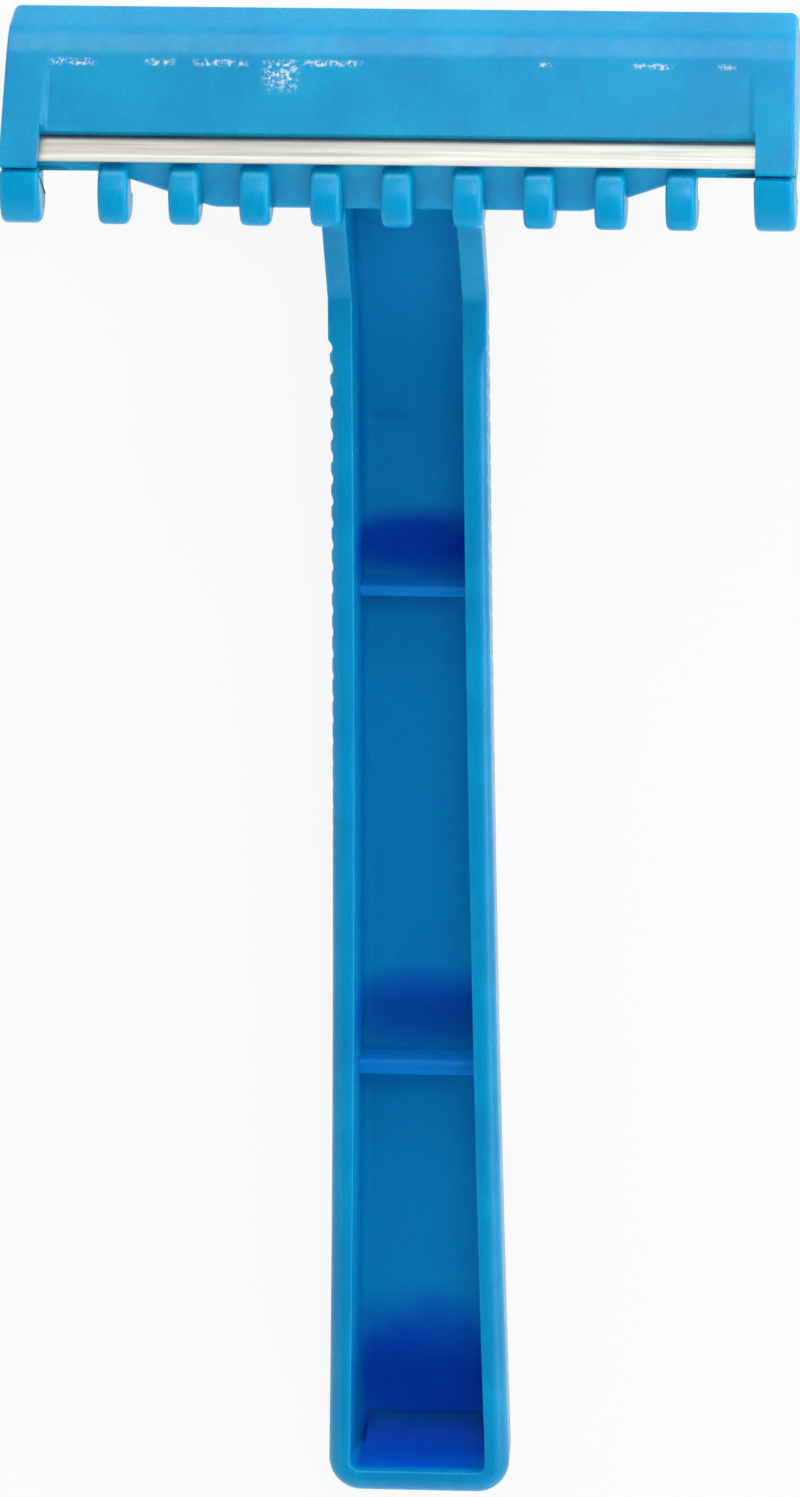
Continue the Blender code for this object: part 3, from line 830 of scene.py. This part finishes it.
def makeCap():
    sections = capSections()
    ribIn = head["halfWidth"] - cap["ribWidth"]
    pocketEnd = head["halfWidth"] - blade["inset"] + 0.3
    bm = bmesh.new()

    def ring(x, section, known=()):
        # a section's vertices by name; those of a known ring in the same plane are shared
        return {name: known[name] if name in known else bm.verts.new((x, *headPoint(u, w)))
                for name, (u, w) in section.items()}

    def strip(rings):
        names = list(rings[0])
        for lower, upper in zip(rings, rings[1:]):
            for before, name in zip(names[-1:] + names, names):
                bm.faces.new((lower[before], lower[name], upper[name], upper[before]))

    def mixed(share):
        # the panel's section, its top raised by share towards the rib's
        points = dict(sections["panel"])
        for name, (u, w) in sections["rib"].items():
            if name[0] == "top":
                points[name] = (u, points[name][1] + (w - points[name][1]) * share)
        return points

    topNames = [name for name in sections["end"] if name[0] == "top"]
    backArc = topNames[-cap["arcSteps"] - 2:-1]
    corner = Vector((cap["length"], cap["backHeight"]))
    centre = Vector((cap["length"] - cap["edgeRadius"], sections["end"][backArc[-1]][1]))
    tipLow = sections["end"]["front", 2][0]

    def rolled(side, turn):
        # the end's section where its edge rolls over, further at the back's corners
        points = list(sections["end"].values())
        made = {}
        for i, (name, (u, w)) in enumerate(sections["end"].items()):
            along = Vector(points[(i + 1) % len(points)]) - Vector(points[i - 1])
            along.normalize()
            share = min(1, max(0, (u - cap["length"] + 1.3) / 0.9))
            radius = cap["edgeRadius"] + (cap["cornerRadius"] - cap["edgeRadius"]) * share
            radius = min(radius, 0.07 + 0.4 * max(0, u - tipLow))
            if w < 0.05:
                radius = 0.05
            inset = radius * (1 - math.cos(turn))
            place = Vector((u + along.y * inset, w - along.x * inset))
            if inset > cap["edgeRadius"] and name in backArc:
                # past the arc's own radius its points meet in the inset corner
                place = corner + (centre - corner) * inset / cap["edgeRadius"]
            px = head["halfWidth"] - radius + radius * math.sin(turn)
            made[name] = bm.verts.new((side * px, *headPoint(*place)))
        return made

    ramp = cap["ribRamp"]
    rampSteps = 10
    falling = [(-ribIn + ramp * k / rampSteps, 1 - k / rampSteps)
               for k in range(1, rampSteps + 1)]
    stations = falling + [(x, 0) for x in spaced(-ribIn + ramp, ribIn - ramp, 12)[1:]]
    stations += [(-x, share) for x, share in reversed(falling[:-1])]
    panel = {}
    for side in (-1, 1):
        solid = ring(side * pocketEnd, sections["end"])
        ribs = [ring(side * pocketEnd, sections["rib"], solid),
                ring(side * (ribIn + 0.12), sections["rib"]), ring(side * ribIn, sections["rib"])]
        rolls = [rolled(side, math.pi / 2 * k / 6) for k in range(7)]
        strip([solid] + rolls)
        strip(ribs)
        bm.faces.new(rolls[-1].values())
        # the wall at the end of the blade's pocket, and the rib's inner wall over the blade
        bm.faces.new([solid["pocket", 0], ribs[0]["pocket", 1], ribs[0]["foot", 0],
                      solid["front", 0], solid["skirt", 0]])
        panel[side] = ring(side * ribIn, mixed(1), ribs[-1])
        inner = [ribs[-1][name] for name in ribs[-1] if name[0] in ("foot", "front", "nose")]
        bm.faces.new(inner + [panel[side][name] for name in (("top", 0), ("lip", 1), ("lip", 0))])
    middle = [ring(x, mixed(share * share * (3 - 2 * share))) for x, share in stations]
    strip([panel[-1]] + middle + [panel[1]])
    # the plan's taper, towards the back
    backY = edgeY + cap["length"] * leanCos + cap["backHeight"] * leanSin
    for vertex in bm.verts:
        share = max(0, vertex.co.y - edgeY) / (backY - edgeY)
        vertex.co.x *= 1 - head["taper"] / head["halfWidth"] * share
    return newObject("blade_cap", bm)


def turned(name, profile, sides=40):
    # a round part from (radius, w) pairs, standing in the head's own axes at x = 0
    bm = bmesh.new()
    place = (Matrix.Translation((0, *headPoint(stake["along"], 0)))
             @ Matrix.Rotation(-head["lean"], 4, "X"))
    angles = [2 * math.pi * k / sides for k in range(sides)]
    rows = [[bm.verts.new(place @ Vector((radius * math.cos(a), radius * math.sin(a), w)))
             for a in angles] for radius, w in profile]
    return lofted(name, bm, rows)


def makePins(row, material):
    # stakes through blade and seat, each end formed into a low dome
    base = -seatBack + 0.12
    radius = stake["radius"]
    dome = [(stake["dome"] * math.sin(a), base + 0.38 - 0.36 * math.cos(a))
            for a in (math.pi / 2 * k / 6 for k in range(1, 7))]
    profile = [(0.25, base + 0.012)] + dome + [
        (1.30, base + 0.45), (radius, base + 0.5), (radius, cap["seam"] + 0.1)]
    part = turned("stake", profile)
    pairs = []
    for pitch in (stake["places"][3] * 2, stake["places"][2] * 2):
        pair = emptyMesh("stakes")
        runTree(pair, row, {"Count": 2, "Pitch": pitch, "Part": part, "Material": material})
        pairs.append(pair)
    bpy.data.objects.remove(part)
    return joined("stakes", pairs)


def makeBlade():
    half = head["halfWidth"] - blade["inset"]
    thick = blade["thickness"]
    section = [
        headPoint(0, -thick / 2), headPoint(0.06, -thick * 0.36), headPoint(blade["grind"], 0),
        headPoint(blade["width"], 0), headPoint(blade["width"], -thick),
        headPoint(blade["grind"], -thick), headPoint(0.06, -thick * 0.64)]
    strip = sideSolid("blade", section, half)
    return combine(strip, headPins("bladeHoles", stake["bladeHole"], -1, 1), "DIFFERENCE")


def finishPiece(piece, nodeName, material, sharp=32):
    piece.data.transform(Matrix.Scale(1 / metre, 4))
    piece.name = nodeName + "Shown"
    piece.data.name = piece.name
    piece.data.materials.clear()
    piece.data.materials.append(material)
    for face in piece.data.polygons:
        face.material_index = 0
    inset = piece.data.attributes.get("inset")
    if inset:
        piece.data.attributes.remove(inset)
    piece.data.shade_smooth()
    piece.data.set_sharp_from_angle(angle=math.radians(sharp))
    normals = piece.modifiers.new("faceNormals", "WEIGHTED_NORMAL")
    normals.keep_sharp = True
    normals.weight = 60
    bakeModifiers(piece)
    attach(piece, "root")
    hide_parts(nodeName)
    print(piece.name, len(piece.data.polygons), "faces")


# Materials

def shaderGroup(name, given, results):
    # a shader node group that hands on colours, masks, values or normals only
    tree = bpy.data.node_groups.new(name, "ShaderNodeTree")
    for label, kind in given:
        tree.interface.new_socket(label, in_out="INPUT", socket_type="NodeSocket" + kind)
    for label, kind in results:
        tree.interface.new_socket(label, in_out="OUTPUT", socket_type="NodeSocket" + kind)
    return tree, addNode(tree, "NodeGroupInput"), addNode(tree, "NodeGroupOutput")


def placeIn(tree, stretch=(1, 1, 1)):
    # Object coordinates in millimetres, stretched
    place = addNode(tree, "ShaderNodeTexCoord").outputs["Object"]
    scaled = addNode(tree, "ShaderNodeVectorMath", operation="MULTIPLY")
    scaled.inputs[1].default_value = [metre * s for s in stretch]
    wire(tree, place, scaled.inputs[0])
    return scaled.outputs[0]


def noiseIn(tree, place, scale, detail=2, roughness=0.5):
    node = addNode(tree, "ShaderNodeTexNoise")
    wire(tree, place, node.inputs["Vector"])
    give(node, {"Scale": scale, "Detail": detail, "Roughness": roughness})
    return node.outputs["Fac"]


def spread(tree, value, low, high, first=0, last=1):
    # value from low to high, smoothly turned into first to last
    node = addNode(tree, "ShaderNodeMapRange", interpolation_type="SMOOTHSTEP")
    for socket, given in zip(node.inputs[:5], (None, low, high, first, last)):
        if given is not None:
            socket.default_value = given
    wire(tree, value, node.inputs[0])
    return node.outputs[0]


def distanceAlong(tree, place, direction, origin=(0, 0, 0)):
    # how far a place lies from the origin along a direction
    offset = addNode(tree, "ShaderNodeVectorMath", operation="SUBTRACT")
    wire(tree, place, offset.inputs[0])
    offset.inputs[1].default_value = origin
    along = addNode(tree, "ShaderNodeVectorMath", operation="DOT_PRODUCT")
    wire(tree, offset.outputs[0], along.inputs[0])
    along.inputs[1].default_value = direction
    return along.outputs["Value"]


def mixedColour(tree, share, first, second):
    node = addNode(tree, "ShaderNodeMix", data_type="RGBA")
    wire(tree, share, node.inputs["Factor"])
    for socket, given in ((node.inputs[6], first), (node.inputs[7], second)):
        if isinstance(given, tuple):
            socket.default_value = (*given, 1)
        else:
            wire(tree, given, socket)
    return node.outputs[2]


def skinGroup():
    # moulded plastic: orange peel, drawn flow lines and a slow change of tone
    tree, given, result = shaderGroup("mouldedSkin", (), (
        ("Height", "Float"), ("Tone", "Float"), ("Gloss", "Float")))
    place = placeIn(tree)
    peel = noiseIn(tree, place, 1.6, 3, 0.55)
    grain = noiseIn(tree, place, 9, 3, 0.6)
    height = plus(tree, times(tree, peel, 0.8), times(tree, grain, 0.2))
    flow = noiseIn(tree, placeIn(tree, (2.2, 0.16, 2.2)), 1, 4, 0.6)
    slow = noiseIn(tree, place, 0.22, 3, 0.6)
    wire(tree, height, result.inputs["Height"])
    tone = plus(tree, times(tree, slow, 0.7), times(tree, grain, 0.3))
    wire(tree, spread(tree, tone, 0.36, 0.64), result.inputs["Tone"])
    wire(tree, spread(tree, flow, 0.35, 0.7), result.inputs["Gloss"])
    return tree


def speckGroup():
    # few and tiny specks, as dust on the part and in the plastic
    tree, given, result = shaderGroup("fineSpecks", (("Density", "Float"),), (("Mask", "Float"),))
    cells = addNode(tree, "ShaderNodeTexVoronoi", feature="F1")
    wire(tree, placeIn(tree), cells.inputs["Vector"])
    cells.inputs["Scale"].default_value = 1.1
    near = spread(tree, cells.outputs["Distance"], 0.03, 0.075, 1, 0)
    pick = addNode(tree, "ShaderNodeSeparateColor")
    wire(tree, cells.outputs["Color"], pick.inputs[0])
    chosen = mathNode(tree, "LESS_THAN", pick.outputs[0], given.outputs["Density"])
    wire(tree, times(tree, near, chosen), result.inputs["Mask"])
    return tree


def useGroup(tree, group, **values):
    node = addNode(tree, "ShaderNodeGroup", node_tree=group)
    give(node, values)
    return node.outputs


def newMaterial(name):
    material = bpy.data.materials.new(name)
    material.use_nodes = True
    return material, material.node_tree, material.node_tree.nodes["Principled BSDF"]


def bumped(tree, shader, height, strength, distance):
    bump = addNode(tree, "ShaderNodeBump")
    give(bump, {"Strength": strength, "Distance": distance})
    wire(tree, height, bump.inputs["Height"])
    wire(tree, bump.outputs[0], shader.inputs["Normal"])


plastic = {
    "deep": (0.0, 0.255, 0.505),
    "bright": (0.0, 0.310, 0.560),
    "paleDeep": (0.0, 0.285, 0.555),    # the cap's and the comb's, which are a little thinner, paler as painted light shining through them
    "paleBright": (0.0, 0.345, 0.620),
    "inner": (0.0, 0.290, 0.615),       # in the trough, where walls light each other
    "thick": (0.0, 0.070, 0.570),       # painted shadow on the trough's floor and the ribs, and two faint dark spots
    "scuff": (0.72, 0.84, 0.92),
    "speck": (0.30, 0.52, 0.68),
    "gloss": (0.24, 0.38),
    "specular": 0.28,
    "scatter": 0.45,
    "scatterDepth": 0.0022,
    "scatterRadius": (0.12, 0.35, 1.0),
}
# painted shadows on the trough's floor, cast by the cross ribs and the foot wall, painted shade on
# the ribs' tops, and two faint dark spots: middle x, place from the foot, half sizes, strength
shadowAndSpotPatches = (
    (0.3, 51.9, 5.0, 2.0, 0.95), (0.9, 52.1, 2.2, 1.2, 0.75),
    (0.2, 26.3, 5.0, 2.3, 0.70),
    (0.2, 5.4, 6.5, 5.0, 0.95), (0.9, 5.0, 2.2, 1.8, 0.9), (0.2, 2.3, 9.0, 1.9, 0.95),
    (-1.5, 58.8, 1.3, 0.5, 0.22), (0.6, 29.6, 1.9, 1.5, 0.08),
    (0.0, 49.67, 9.0, 0.7, 0.24), (0.0, 23.37, 9.0, 0.8, 0.28),
)
ejectorMark = {"x": 0.1, "fromFoot": 28.4, "radius": 1.45, "line": 0.16, "strength": 0.14}
# scuffs along the cap's crest, in millimetres: middle, half length, reach towards the blade
scuffs = (
    (-17.3, 1.3, 0.20), (-12.7, 0.9, 0.22), (-9.4, 1.5, 0.18), (-6.2, 1.0, 1.15),
    (-3.5, 1.6, 0.16), (7.8, 0.4, 0.12), (13.4, 1.1, 0.16), (17.3, 0.5, 0.14),
)


def plasticMaterial(name, tones, marksAndShade):
    # the function given last hands back the colour with its scuffs or spots, and with any painted
    # shade or light, and the mask of what is less glossy
    material, tree, shader = newMaterial(name)
    skin = useGroup(tree, mouldedSkin)
    specks = useGroup(tree, fineSpecks, Density=0.035)["Mask"]
    colour = mixedColour(tree, skin["Tone"], plastic[tones[0]], plastic[tones[1]])
    colour = mixedColour(tree, times(tree, specks, 0.6), colour, plastic["speck"])
    gloss = spread(tree, skin["Gloss"], 0, 1, *plastic["gloss"])
    colour, mask = marksAndShade(tree, colour)
    gloss = mathNode(tree, "ADD", gloss, times(tree, mask, 0.3), clamp=True)
    specular = plastic["specular"]
    specular = mathNode(tree, "MULTIPLY_ADD", mask, -0.8 * specular, specular)
    wire(tree, colour, shader.inputs["Base Color"])
    wire(tree, gloss, shader.inputs["Roughness"])
    wire(tree, specular, shader.inputs["Specular IOR Level"])
    give(shader, {
        "Subsurface Weight": plastic["scatter"],
        "Subsurface Scale": plastic["scatterDepth"],
        "Subsurface Radius": plastic["scatterRadius"],
    })
    bumped(tree, shader, skin["Height"], 0.22, 0.00004)
    return material


def troughShadeAndMarks(tree, colour):
    # the trough's ejector ring, its painted shadows as soft-edged patches, painted light where its
    # walls light each other, and a painted glow where the comb's plastic is thin
    place = placeIn(tree)
    split = addNode(tree, "ShaderNodeSeparateXYZ")
    wire(tree, place, split.inputs[0])
    x, y, z = split.outputs
    cloud = times(tree, minus(tree, noiseIn(tree, place, 0.45, 3), 0.5), 0.6)

    def squareFrom(middle, fromFoot, wide, long):
        across = mathNode(tree, "DIVIDE", minus(tree, x, middle), wide)
        along = mathNode(tree, "DIVIDE", minus(tree, y, footY + fromFoot), long)
        return plus(tree, times(tree, across, across), times(tree, along, along))

    mark = ejectorMark
    ring = mathNode(tree, "SQRT", squareFrom(mark["x"], mark["fromFoot"], 1, 1))
    ring = mathNode(tree, "ABSOLUTE", minus(tree, ring, mark["radius"]))
    total = spread(tree, ring, 0, mark["line"], mark["strength"], 0)
    # painted shadows: each patch darkens the floor towards the shadow blue
    for *patch, strength in shadowAndSpotPatches:
        far = plus(tree, squareFrom(*patch), cloud)
        total = mathNode(tree, "MAXIMUM", total, spread(tree, far, 0.0, 1.3, strength, 0))
    wall = halfWidth(footY) - handle["wall"]
    depth = handle["footDepth"]
    inside = times(tree, spread(tree, mathNode(tree, "ABSOLUTE", x), wall - 0.5, wall + 0.1, 1, 0),
                   spread(tree, z, depth - 1.0, depth - 0.1, 1, 0))
    total = times(tree, total, inside)
    # painted glow: towards the comb the handle turns paler, as light through thin plastic
    paintedThinGlow = spread(tree, y, edgeY - 4.4, edgeY - 3.6)
    colour = mixedColour(tree, paintedThinGlow, colour, plastic["paleBright"])
    # painted light: inside the trough the colour turns to the bluer tone of walls lighting each
    # other
    colour = mixedColour(tree, inside, colour, plastic["inner"])
    dull = mathNode(tree, "MAXIMUM", total, times(tree, inside, 0.55))
    # the painted shadow colour, laid over the floor where the patches lie
    return mixedColour(tree, total, colour, plastic["thick"]), dull


def crestScuffs(tree, colour):
    # rubbed spots along the line where the panel meets the crest
    place = placeIn(tree)
    line = headPoint(cap["panelEnd"] - 0.05, 0)
    back = distanceAlong(tree, place, (0, leanCos, -leanSin), (0, *line))
    across = distanceAlong(tree, place, (1, 0, 0))
    grit = noiseIn(tree, place, 4.5, 4, 0.75)
    total = None
    for middle, half, reach in scuffs:
        off = mathNode(tree, "ABSOLUTE", minus(tree, across, middle))
        inside = spread(tree, off, half * 0.6, half * 1.15, 1, 0)
        low = spread(tree, back, -reach * 1.5, -reach * 0.7)
        high = spread(tree, back, 0.05, 0.22, 1, 0)
        spot = times(tree, inside, times(tree, low, high))
        total = spot if total is None else mathNode(tree, "MAXIMUM", total, spot)
    rubbed = spread(tree, grit, 0.47, 0.60)
    total = times(tree, times(tree, total, rubbed), 0.9)
    return mixedColour(tree, total, colour, plastic["scuff"]), total


def steelMaterial():
    # a strip ground along its length, its cutting edge ground again and brighter, with a painted
    # sheen that brightens it towards +x
    material, tree, shader = newMaterial("bladeSteel")
    lines = noiseIn(tree, placeIn(tree, (0.12, 9, 9)), 1, 4, 0.6)
    place = placeIn(tree)
    sheenWobble = noiseIn(tree, place, 0.25, 3, 0.6)
    across = distanceAlong(tree, place, (1, 0, 0))
    back = distanceAlong(tree, place, (0, leanCos, -leanSin), (0, edgeY, edgeZ))
    # painted sheen: the colour brightens from -x to +x, its boundary wobbled by noise
    side = spread(tree, plus(tree, across, times(tree, sheenWobble, 14)), -12, 22)
    colour = mixedColour(tree, side, (0.215, 0.21, 0.188), (0.30, 0.30, 0.28))
    ground = spread(tree, back, 0.42, 0.5, 1, 0)
    colour = mixedColour(tree, times(tree, ground, 0.6), colour, (0.35, 0.35, 0.33))
    specks = useGroup(tree, fineSpecks, Density=0.03)["Mask"]
    colour = mixedColour(tree, times(tree, specks, 0.5), colour, (0.20, 0.19, 0.17))
    wire(tree, colour, shader.inputs["Base Color"])
    wire(tree, spread(tree, lines, 0.3, 0.7, 0.26, 0.42), shader.inputs["Roughness"])
    shader.inputs["Metallic"].default_value = 1
    bumped(tree, shader, lines, 0.12, 0.00001)
    return material


mouldedSkin = skinGroup()
fineSpecks = speckGroup()
# the handle's plastic, with the trough's painted shadows and painted light
handlePlastic = plasticMaterial("handlePlastic", ("deep", "bright"), troughShadeAndMarks)
# the cap's paler tones are painted light through its thinner plastic
capPlastic = plasticMaterial("capPlastic", ("paleDeep", "paleBright"), crestScuffs)
steel = steelMaterial()

grooves = gripTree()
evenRow = rowTree()

bar = loftBar()
runTree(bar, grooves, {**grip, "Material": handlePlastic})
print("bar lofted:", len(bar.data.polygons), "faces")
for place, thickness in handle["ribs"]:
    combine(bar, crossRib(place, thickness), "UNION")
combine(bar, makeSeat(), "UNION")
print("seat joined:", len(bar.data.polygons), "faces")
combine(bar, makeComb(evenRow, handlePlastic), "UNION")
finishPiece(bar, "handle", handlePlastic)

capBody = makeCap()
combine(capBody, makePins(evenRow, capPlastic), "UNION")
finishPiece(capBody, "blade_cap", capPlastic)

strip = makeBlade()
finishPiece(strip, "blade", steel)


# Camera, light and floor

photo = {
    "azimuth": math.radians(6.02),
    "tilt": math.radians(-13.07),
    "roll": math.radians(-0.448),
    "distance": 0.700,
    "target": (-0.000371, 0.001255, 0.0082),
    "focalPixels": 13134,
    "longSide": 1497,
}
cameraData = bpy.data.cameras.new("camera")
cameraData.sensor_width = 36
cameraData.lens = photo["focalPixels"] / photo["longSide"] * 36
cameraData.clip_start = 0.01
cameraData.clip_end = 20
camera = placed("camera", cameraData)
turn = (Matrix.Rotation(photo["azimuth"], 4, "Y") @ Matrix.Rotation(photo["tilt"], 4, "X")
        @ Matrix.Rotation(photo["roll"], 4, "Z"))
camera.matrix_world = Matrix.Translation(photo["target"]) @ turn @ Matrix.Translation(
    (0, 0, photo["distance"]))
bpy.context.scene.camera = camera
bpy.context.scene.view_settings.view_transform = "Standard"


def softbox(name, direction, elevation, size, power, away=0.6):
    # a softbox that looks at the razor from a direction in plan and a height in degrees
    data = bpy.data.lights.new(name, "AREA")
    data.shape = "RECTANGLE"
    data.size, data.size_y = size
    data.energy = power
    rise = math.radians(elevation)
    heading = Vector(direction).normalized() * math.cos(rise)
    lamp = placed(name, data)
    lamp.location = Vector((heading.x, heading.y, math.sin(rise))) * away
    aim = Vector((0, 0, 0.006)) - lamp.location
    lamp.rotation_euler = aim.to_track_quat("-Z", "Y").to_euler()
    return lamp


softbox("footSoftbox", (0, -1), 33, (0.80, 0.16), 2.1).visible_glossy = False
softbox("headSoftbox", (0.08, 1), 21, (1.00, 0.26), 2.4)
softbox("rightSoftbox", (1, 0.1), 22, (0.5, 0.24), 1.3)
softbox("panelSoftbox", (0.45, 1), 57, (0.09, 0.07), 0.09, 0.22)

def whiteRays(tree):
    # masks of the mirrored rays, and of these with the camera's own
    path = addNode(tree, "ShaderNodeLightPath").outputs
    mirrored = mathNode(tree, "MAXIMUM", path["Is Glossy Ray"], path["Is Transmission Ray"])
    return mirrored, mathNode(tree, "MAXIMUM", path["Is Camera Ray"], mirrored)


world = bpy.data.worlds.new("studio")
bpy.context.scene.world = world
world.use_nodes = True
sky = world.node_tree
background = sky.nodes["Background"]
mirrored, direct = whiteRays(sky)
facing = addNode(sky, "ShaderNodeTexCoord").outputs["Generated"]
# the studio's walls are pale and its ceiling dark, so level faces keep their full colour
ceiling = spread(sky, distanceAlong(sky, facing, (0, -0.42, 0.91)), 0.70, 0.87)
seenWhite = minus(sky, 1, times(sky, ceiling, times(sky, mirrored, 0.94)))
around = spread(sky, distanceAlong(sky, facing, (0, 0, 1)), 0.40, 0.90, 0.56, 0.14)
give(background, {"Color": (1, 1, 1, 1)})
strength = plus(sky, times(sky, direct, minus(sky, seenWhite, around)), around)
wire(sky, strength, background.inputs["Strength"])

floorMesh = bpy.data.meshes.new("floor")
floorHalf = 1.5
floorZ = -0.00003
floorMesh.from_pydata(
    [(x * floorHalf, y * floorHalf, floorZ) for x, y in ((-1, -1), (1, -1), (1, 1), (-1, 1))],
    [], [(0, 1, 2, 3)])
floor = placed("floor", floorMesh)
paper, paperTree, shade = newMaterial("floorPaper")
give(shade, {"Base Color": (0.85, 0.85, 0.85, 1), "Roughness": 0.9, "Specular IOR Level": 0.1})
glow = addNode(paperTree, "ShaderNodeEmission")
mix = addNode(paperTree, "ShaderNodeMixShader")
wire(paperTree, times(paperTree, whiteRays(paperTree)[1], 0.88), mix.inputs[0])
wire(paperTree, shade.outputs[0], mix.inputs[1])
wire(paperTree, glow.outputs[0], mix.inputs[2])
wire(paperTree, mix.outputs[0], paperTree.nodes["Material Output"].inputs["Surface"])
floorMesh.materials.append(paper)
